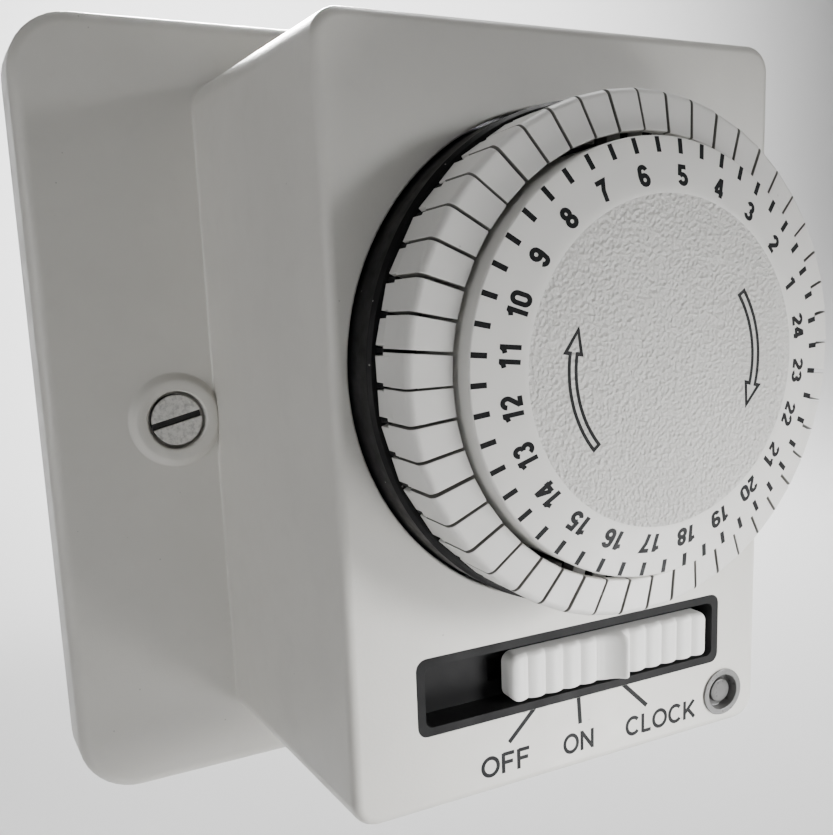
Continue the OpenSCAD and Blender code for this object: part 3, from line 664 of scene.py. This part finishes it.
def figures():
    """Centre lines of plain upright figures and capitals, one unit tall; True closes a line."""
    digits = {
        "0": [(bow(0.31, 0.69, 0.215, 0.215, 0, 180) + bow(0.31, 0.31, 0.215, 0.215, 180, 360), True)],
        "1": [([(0.40, 0), (0.40, 1)], False), ([(0.38, 0.93), (0.28, 0.80), (0.12, 0.745)], False)],
        "2": [
            (bow(0.31, 0.69, 0.205, 0.22, 172, -38) + [(0.12, 0.12)], False),
            ([(0.07, 0.09), (0.54, 0.09)], False),
        ],
        "3": [
            (bow(0.30, 0.70, 0.185, 0.205, 165, -88), False),
            (bow(0.30, 0.295, 0.21, 0.205, 88, -165), False),
        ],
        "4": [
            ([(0.44, 0), (0.44, 1)], False), ([(0.40, 0.95), (0.08, 0.30)], False),
            ([(0.04, 0.27), (0.60, 0.27)], False),
        ],
        "5": [
            ([(0.53, 0.91), (0.17, 0.91), (0.12, 0.46)], False),
            (bow(0.30, 0.32, 0.215, 0.225, 142, -160), False),
        ],
        "6": [
            (bow(0.32, 0.70, 0.20, 0.21, 15, 150) + bow(0.315, 0.45, 0.215, 0.36, 160, 200), False),
            (bow(0.315, 0.305, 0.21, 0.215, 0, 360), True),
        ],
        "7": [([(0.07, 0.91), (0.53, 0.91), (0.33, 0.52), (0.24, 0)], False)],
        "8": [(bow(0.31, 0.71, 0.18, 0.20, 0, 360), True), (bow(0.31, 0.30, 0.21, 0.21, 0, 360), True)],
    }
    digits["9"] = [([(0.62 - x, 1 - y) for x, y in line], closed) for line, closed in digits["6"]]
    stem = ([(0.14, 0), (0.14, 1)], False)
    letters = {
        "O": [(bow(0.50, 0.5, 0.40, 0.432, 0, 360, 32), True)],
        "C": [(bow(0.50, 0.5, 0.39, 0.432, 42, 318, 26), False)],
        "F": [stem, ([(0.14, 0.935), (0.72, 0.935)], False), ([(0.14, 0.52), (0.65, 0.52)], False)],
        "N": [stem, ([(0.14, 0.93), (0.80, 0.07)], False), ([(0.80, 0), (0.80, 1)], False)],
        "L": [stem, ([(0.14, 0.065), (0.66, 0.065)], False)],
        "K": [stem, ([(0.14, 0.33), (0.76, 0.97)], False), ([(0.34, 0.56), (0.80, 0.03)], False)],
    }
    return digits, letters


DIGITS, LETTERS = figures()
DIGIT_STEP = 0.66
LETTER_STEPS = {"O": 1.04, "C": 0.98, "F": 0.82, "N": 0.97, "L": 0.74, "K": 0.9}


def stroke(points, width, closed=True):
    """Quads that draw a line of the given width through points."""
    count = len(points)
    spots = [Vector(p) for p in points]
    if closed and (spots[0] - spots[-1]).length < 1e-6:
        spots.pop()
        count -= 1
    sides = []
    for i in range(count):
        ways = []
        if closed or i > 0:
            ways.append((spots[i] - spots[i - 1]).normalized().orthogonal())
        if closed or i < count - 1:
            ways.append((spots[(i + 1) % count] - spots[i]).normalized().orthogonal())
        side = sum(ways, Vector((0, 0)))
        side = side.normalized() if side.length > 1e-6 else ways[0]
        sides.append(side * width / 2 / max(0.45, side.dot(ways[0])))
    quads = []
    for i in range(count if closed else count - 1):
        j = (i + 1) % count
        quads.append([tuple(p) for p in (
            spots[i] - sides[i], spots[j] - sides[j], spots[j] + sides[j], spots[i] + sides[i]
        )])
    return quads


def write(word, table, steps, weight):
    """Quads of a word one unit tall, each with its layer, and the word's left and right ends."""
    pieces, x = [], 0.0
    for letter in word:
        for layer, (line, closed) in enumerate(table[letter]):
            for quad in stroke([(px + x, py) for px, py in line], weight, closed):
                pieces.append((layer, quad))
        x += steps[letter] if isinstance(steps, dict) else steps
    xs = [p[0] for _, quad in pieces for p in quad]
    return pieces, min(xs), max(xs)


def build_dial_print():
    """The scale of half hours, and the hour numbers with their tops outwards."""
    ticks = []
    for i in range(2 * HOURS):
        ticks += bar(TICK_IN, TICK_OUT, TICK_WIDTH, MIDNIGHT + i * PAIR_ANGLE / 2)
    print_on_cap("dial_ticks", ticks)
    points, faces = [], []
    for hour in range(1, HOURS + 1):
        pieces, left, right = write(str(hour), DIGITS, DIGIT_STEP, NUMBER_STROKE)
        a = math.radians(MIDNIGHT + hour * PAIR_ANGLE)
        outwards = Vector((math.cos(a), math.sin(a)))
        across = Vector((math.sin(a), -math.cos(a)))
        middle = (left + right) / 2
        for layer, quad in pieces:
            start = len(points)
            for x, y in quad:
                spot = outwards * (NUMBER_R + (y - 0.5) * NUMBER_H) + across * (x - middle) * NUMBER_H
                lift = PRINT_LIFT + LAYER * layer
                points.append((spot.x, spot.y + DIAL_Y, FACE + cap_height(spot.length) + lift))
            faces.append(tuple(range(start, start + 4)))
    numbers = make("dial_numbers", points, faces, [print_ink])
    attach(numbers, "dial")


build_dial_print()


# The arrows: where each starts and ends, in degrees, and the sizes they share
ARROWS = ((220, 160), (35, -25.3))
ARROW_R, ARROW_SHAFT, ARROW_HEAD_W, ARROW_HEAD_LEN, ARROW_STROKE = 13.2, 0.9, 2.1, 2.6, 0.42


def curved_arrow(tail, tip, steps=16):
    """Outline of an arrow that follows a circle from tail to tip, in degrees."""
    sign = 1 if tip > tail else -1
    neck = tip - sign * math.degrees(ARROW_HEAD_LEN / ARROW_R)
    outer = arc((0.0, 0.0), ARROW_R + ARROW_SHAFT / 2, tail, neck, steps)
    inner = arc((0.0, 0.0), ARROW_R - ARROW_SHAFT / 2, neck, tail, steps)
    half_w = ARROW_HEAD_W / 2
    head = [polar(ARROW_R + half_w, neck), polar(ARROW_R, tip), polar(ARROW_R - half_w, neck)]
    return outer + head + inner


def build_arrows():
    quads = []
    for tail, tip in ARROWS:
        quads += stroke(curved_arrow(tail, tip), ARROW_STROKE)
    print_on_cap("dial_arrows", quads)


build_arrows()


# ---- Tappets ----
TAPPET_IN, SKIRT_BOTTOM = 25.97, 7.3
TAPPET_GAP = 0.3
# Blocks under each lip: how far they lie from the pair's middle, from the dial's centre and above the face
FOOT_WIDTH, TAIL_WIDTH = (0.42, 3.48), (0.93, 2.93)
TAPPET_BLOCKS = (
    (FOOT_WIDTH, (29.4, 30.8), (5.3, 9.0)),
    (TAIL_WIDTH, (26.0, 30.4), (5.3, 6.8)),
    (TAIL_WIDTH, (26.0, 27.4), (-6.5, 5.5)),
)
BLOCK_FACES = [(0, 1, 3, 2), (4, 5, 7, 6), (0, 1, 5, 4), (2, 3, 7, 6), (0, 2, 6, 4), (1, 3, 7, 5)]


def tappet_profile():
    """Section of a tappet's lip, along its radius and above the face, with a soft outer bend."""
    top = [(TAPPET_IN, 14.30), (TAPPET_IN + 0.12, 14.42)]
    bend = arc((29.8, 12.3), 1.15, 77, 2, 8)
    skirt = [(30.95, 7.42), (30.83, SKIRT_BOTTOM), (29.2, SKIRT_BOTTOM), (29.1, 12.1), (28.4, 12.5)]
    return [(TAPPET_IN, 13.3), *top, *bend, *skirt]


def tappet_parts(side, gap, shift):
    """One half-hour tappet in its pair's own axes: u outwards along the pair's radius, v across it."""
    half = PAIR_ANGLE / 2
    a = math.radians(side * half / 2)
    slope = math.tan(math.radians(half))
    profile = tappet_profile()
    points = []
    for p, h in profile:
        p += shift
        near = (side * gap / 2 - p * math.sin(a)) / math.cos(a)
        far = (side * (p * math.cos(a) * slope - gap * 0.6) - p * math.sin(a)) / (
            math.cos(a) + side * math.sin(a) * slope
        )
        for t in (near, far):
            points.append((p * math.cos(a) - t * math.sin(a), p * math.sin(a) + t * math.cos(a), h))
    count = len(profile)
    faces = [tuple(range(0, 2 * count, 2)), tuple(range(1, 2 * count, 2))]
    for i in range(count):
        j = (i + 1) % count
        faces.append((2 * i, 2 * i + 1, 2 * j + 1, 2 * j))
    solids = [(points, faces)]
    for across, along, heights in TAPPET_BLOCKS:
        corners = [(u, side * v, h) for h in heights for v in across for u in along]
        solids.append((corners, BLOCK_FACES))
    return solids


def build_tappets():
    """The two tappets of each hour; a lip's two side faces, its first, take the darker material of painted
    shade.
    """
    rng = random.Random(24)
    for hour in range(1, HOURS + 1):
        turn = math.radians(MIDNIGHT + (hour - 0.5) * PAIR_ANGLE)
        points, faces, slots = [], [], []
        for side in (-1, 1):
            gap, shift = TAPPET_GAP + rng.uniform(-0.08, 0.1), rng.uniform(-0.06, 0.03)
            for part, part_faces in tappet_parts(side, gap, shift):
                start, is_lip = len(points), part_faces is not BLOCK_FACES
                for u, v, h in part:
                    points.append((
                        u * math.cos(turn) - v * math.sin(turn),
                        u * math.sin(turn) + v * math.cos(turn) + DIAL_Y,
                        FACE + h,
                    ))
                faces += [tuple(i + start for i in f) for f in part_faces]
                slots += [int(is_lip and k < 2) for k in range(len(part_faces))]
        name = f"tappets_{hour:02d}"
        pair = make(name + "_skin", points, faces, [tappet_plastic, tappet_gap_shade], slots, smooth=30)
        finish_edges(pair, 0.1, 2, 30)
        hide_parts(name)
        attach(pair, name)


build_tappets()


# ---- Slide knob ----
KNOB_BASE = FACE - 2.4
KNOB_TOP_Y = KNOB_HIGH.y - 0.5
FIN_X, FIN_RISE, FIN_RUN, FIN_THICK = 7.4, 1.9, 3.6, 0.8
CREST = 0.2
RIBS = 12


def rib_crest(x):
    """Height of the knob's rounded ribs above the face at x."""
    rib_r, pitch = 2.5, (KNOB_HIGH.x - KNOB_LOW.x) / RIBS
    phase = ((x - KNOB_LOW.x) % pitch) - pitch / 2
    return CREST - rib_r + math.sqrt(rib_r**2 - phase**2)


def fin_height(x):
    """Height of the pointer above the face at x: a hollow ramp, a narrow edge, and -5 beyond them."""
    run = (FIN_X + 0.1 - x) / FIN_RUN
    if 0 <= run <= 1:
        return CREST + FIN_RISE * (1 - run) ** 1.9 - 0.3 * run
    if 0 < x - FIN_X <= FIN_THICK:
        return CREST + FIN_RISE - 0.5 * ((x - FIN_X) / FIN_THICK) ** 2
    return -5.0


def quarter(d, r):
    """How much of its height a rounded end has at distance d from the end."""
    return math.sqrt(max(0.0, 1 - (1 - min(d, r) / r) ** 2))


def build_knob():
    """Cross-sections along the knob, each a slab with eased long edges."""
    low, high = KNOB_LOW, KNOB_HIGH
    mid_y, half_h = (low.y + KNOB_TOP_Y) / 2, (KNOB_TOP_Y - low.y) / 2
    corner, low_ease, high_ease = 1.4, 0.32, 0.85
    ends = [corner * (1 - math.cos(math.radians(9 * i))) for i in range(11)]
    steps = 14 * RIBS
    xs = [low.x + e for e in ends] + [high.x - e for e in ends]
    xs += [low.x + corner + (high.x - low.x - 2 * corner) * i / steps for i in range(1, steps)]
    xs += [FIN_X + FIN_THICK - 0.002, FIN_X + FIN_THICK + 0.03]
    xs = sorted(set(round(x, 4) for x in xs))
    rings = []
    for x in xs:
        end = min(x - low.x, high.x - x, corner)
        pull = corner - math.sqrt(max(corner**2 - (corner - end) ** 2, 0))
        half = half_h - pull
        body = rib_crest(x) - 0.9 * (pull / corner) ** 2
        fin = max(fin_height(x) - body, 0)
        spread = [low_ease * (1 - math.cos(math.radians(18 * k))) for k in range(6)]
        spread += [0.55, 0.8, 1.2] + [2 * half * t for t in (0.35, 0.5, 0.65)]
        spread += [2 * half - d for d in (1.5, 1.1)]
        spread += [2 * half - high_ease * (1 - math.cos(math.radians(15 * k))) for k in range(6, -1, -1)]
        ring = [(-half, KNOB_BASE)]
        for d in spread:
            top = body - low_ease * (1 - quarter(d, low_ease))
            top -= high_ease * (1 - quarter(2 * half - d, high_ease))
            top += fin * quarter(d, 0.7) * quarter(2 * half - d, 1.3)
            ring.append((d - half, FACE + top))
        ring.append((half, KNOB_BASE))
        rings.append([(x, mid_y + y, z) for y, z in ring])
    count = len(rings[0])
    points = [p for ring in rings for p in ring]
    faces = [tuple(range(count)), tuple(range(len(points) - count, len(points)))]
    for level in range(len(rings) - 1):
        for i in range(count):
            j = (i + 1) % count
            a, b = level * count, (level + 1) * count
            faces.append((a + i, a + j, b + j, b + i))
    knob = make("slide_knob_skin", points, faces, [knob_plastic], smooth=34)
    even_shading(knob)
    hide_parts("slide_knob")
    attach(knob, "slider")


build_knob()


# ---- Legends on the face ----
LEGEND_BASE, LEGEND_H, LEGEND_STROKE, MARK_WIDTH = -47.5, 2.95, 0.19, 0.66
# Each word with its middle and its width, and each mark's end below the slot and end above its word
LEGEND_WORDS = (("OFF", -11.75, 7.75), ("ON", 0.45, 5.3), ("CLOCK", 15.45, 13.3))
MARK_TOP = SLOT_LOW.y - 0.02
MARKS = (
    ((-7.1, MARK_TOP), (-11.1, -43.2)),
    ((0.5, MARK_TOP), (0.75, -43.35)),
    ((8.6, MARK_TOP), (12.7, -43.4)),
)


def build_legend():
    """The switch words under the slot and the marks that lead to them."""
    points, faces = [], []

    def add(quad, lift=PRINT_LIFT):
        start = len(points)
        points.extend((x, y, FACE + lift) for x, y in quad)
        faces.append(tuple(range(start, start + 4)))

    for word, x, width in LEGEND_WORDS:
        pieces, left, right = write(word, LETTERS, LETTER_STEPS, LEGEND_STROKE)
        middle = (left + right) / 2
        for layer, quad in pieces:
            spots = [(x + (u - middle) * width / (right - left), LEGEND_BASE + v * LEGEND_H) for u, v in quad]
            add(spots, PRINT_LIFT + LAYER * layer)
    for start, end in MARKS:
        lean = Vector((end[0] - start[0], end[1] - start[1]))
        half = MARK_WIDTH / 2 * lean.length / abs(lean.y)
        foot = lean.normalized().orthogonal() * MARK_WIDTH / 2
        add([
            (start[0] - half, start[1]), (end[0] - foot.x, end[1] - foot.y),
            (end[0] + foot.x, end[1] + foot.y), (start[0] + half, start[1]),
        ])
    legend = make("face_legend", points, faces, [legend_ink])
    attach(legend, "case")


build_legend()

# ---- Stage: pale floor, camera and studio light ----
# The floor runs back and bends up into a backdrop; all in metres
FLOOR_Z, FLOOR_FRONT = -0.30, -5.0
FLOOR_HALF_W, BACKDROP_Y, BACKDROP_H, BACKDROP_BEND = 6.0, 1.6, 4.0, 0.8


def build_stage():
    made = Recipe("studio_floor", (0.86, 0.86, 0.86), 0.7)
    made.height(made.noise(30), 0.2, 0.1)
    start = BACKDROP_Y - BACKDROP_BEND
    section = [(FLOOR_FRONT, 0.0), (start, 0.0)]
    for a in (math.radians(9 * i) for i in range(1, 11)):
        section.append((start + BACKDROP_BEND * math.sin(a), BACKDROP_BEND * (1 - math.cos(a))))
    section.append((BACKDROP_Y, BACKDROP_H))
    mesh = bpy.data.meshes.new("studio_floor")
    points = [(x, y, z + FLOOR_Z) for y, z in section for x in (-FLOOR_HALF_W, FLOOR_HALF_W)]
    faces = [(2 * i, 2 * i + 1, 2 * i + 3, 2 * i + 2) for i in range(len(section) - 1)]
    mesh.from_pydata(points, [], faces)
    floor = bpy.data.objects.new("studio_floor", mesh)
    bpy.context.scene.collection.objects.link(floor)
    mesh.materials.append(made.material)
    mesh.polygons.foreach_set("use_smooth", [True] * len(mesh.polygons))


build_stage()


# Which way the camera looks, in degrees; where it stands, in metres; its sensor and lens, in millimetres
AZIMUTH, ELEVATION, ROLL = math.radians(22.46), math.radians(-8.97), math.radians(-2.8)
CAMERA_SPOT = Vector((-0.06878, -0.14830, 0.01596))
SENSOR, FOCAL, SHIFT_X, SHIFT_Y = 36, 36.08, 0.0658, 0.0325


def add_camera():
    """The camera stands to the left of the timer and looks a little down, tilted slightly."""
    forward = Vector((
        math.sin(AZIMUTH) * math.cos(ELEVATION),
        math.cos(AZIMUTH) * math.cos(ELEVATION),
        math.sin(ELEVATION),
    ))
    level = forward.cross(Vector((0, 0, 1))).normalized()
    lift = level.cross(forward)
    right = level * math.cos(ROLL) + lift * math.sin(ROLL)
    up = right.cross(forward)
    data = bpy.data.cameras.new("camera")
    data.sensor_fit, data.sensor_width, data.sensor_height = "VERTICAL", SENSOR, SENSOR
    data.lens, data.shift_x, data.shift_y = FOCAL, SHIFT_X, SHIFT_Y
    data.clip_start = 0.005
    camera = bpy.data.objects.new("camera", data)
    camera.matrix_world = Matrix((
        (right.x, up.x, -forward.x, CAMERA_SPOT.x),
        (right.y, up.y, -forward.y, CAMERA_SPOT.y),
        (right.z, up.z, -forward.z, CAMERA_SPOT.z),
        (0, 0, 0, 1),
    ))
    bpy.context.scene.collection.objects.link(camera)
    bpy.context.scene.camera = camera


add_camera()


# Name, where it stands and what it is aimed at, size, power in watts, spread in degrees
LIGHTS = (
    ("key", (0.25, -0.36, 0.02), (0.01, -0.057, -0.13), 0.16, 0.31, 46),
    ("bounce", (0.08, -0.17, -0.11), (-0.005, -0.065, 0.0), 0.08, 0.030, 60),
    ("left", (-0.45, -0.20, 0.0), (-0.06, -0.02, 0.015), 0.22, 0.040, 40),
    ("fill", (-0.25, -0.75, 0.15), (0.0, -0.05, 0.0), 0.6, 0.2, 180),
    ("rim", (0.10, 0.45, 0.32), (-0.03, 0.0, 0.062), 0.25, 1.9, 30),
    ("backdrop_middle", (0.15, 0.6, 0.8), (0.15, 1.6, 0.3), 0.6, 14, 120),
    ("backdrop_right", (1.1, 0.45, 0.9), (0.9, 1.6, 0.4), 0.8, 22, 130),
    ("floor_light", (0.6, 0.5, 1.2), (0.5, 0.7, -0.3), 0.8, 12, 90),
)
AMBIENT = 0.04


def area_light(name, spot, aim, size, power, spread):
    """A round lamp at spot that faces aim."""
    data = bpy.data.lights.new(name, "AREA")
    data.shape, data.size, data.energy, data.spread = "DISK", size, power, math.radians(spread)
    lamp = bpy.data.objects.new(name, data)
    lamp.location = spot
    lamp.rotation_euler = (Vector(aim) - Vector(spot)).to_track_quat("-Z", "Y").to_euler()
    bpy.context.scene.collection.objects.link(lamp)


for light in LIGHTS:
    area_light(*light)
world = bpy.data.worlds.new("studio")
world.use_nodes = True
world.node_tree.nodes["Background"].inputs["Color"].default_value = (1, 1, 1, 1)
world.node_tree.nodes["Background"].inputs["Strength"].default_value = AMBIENT
bpy.context.scene.world = world
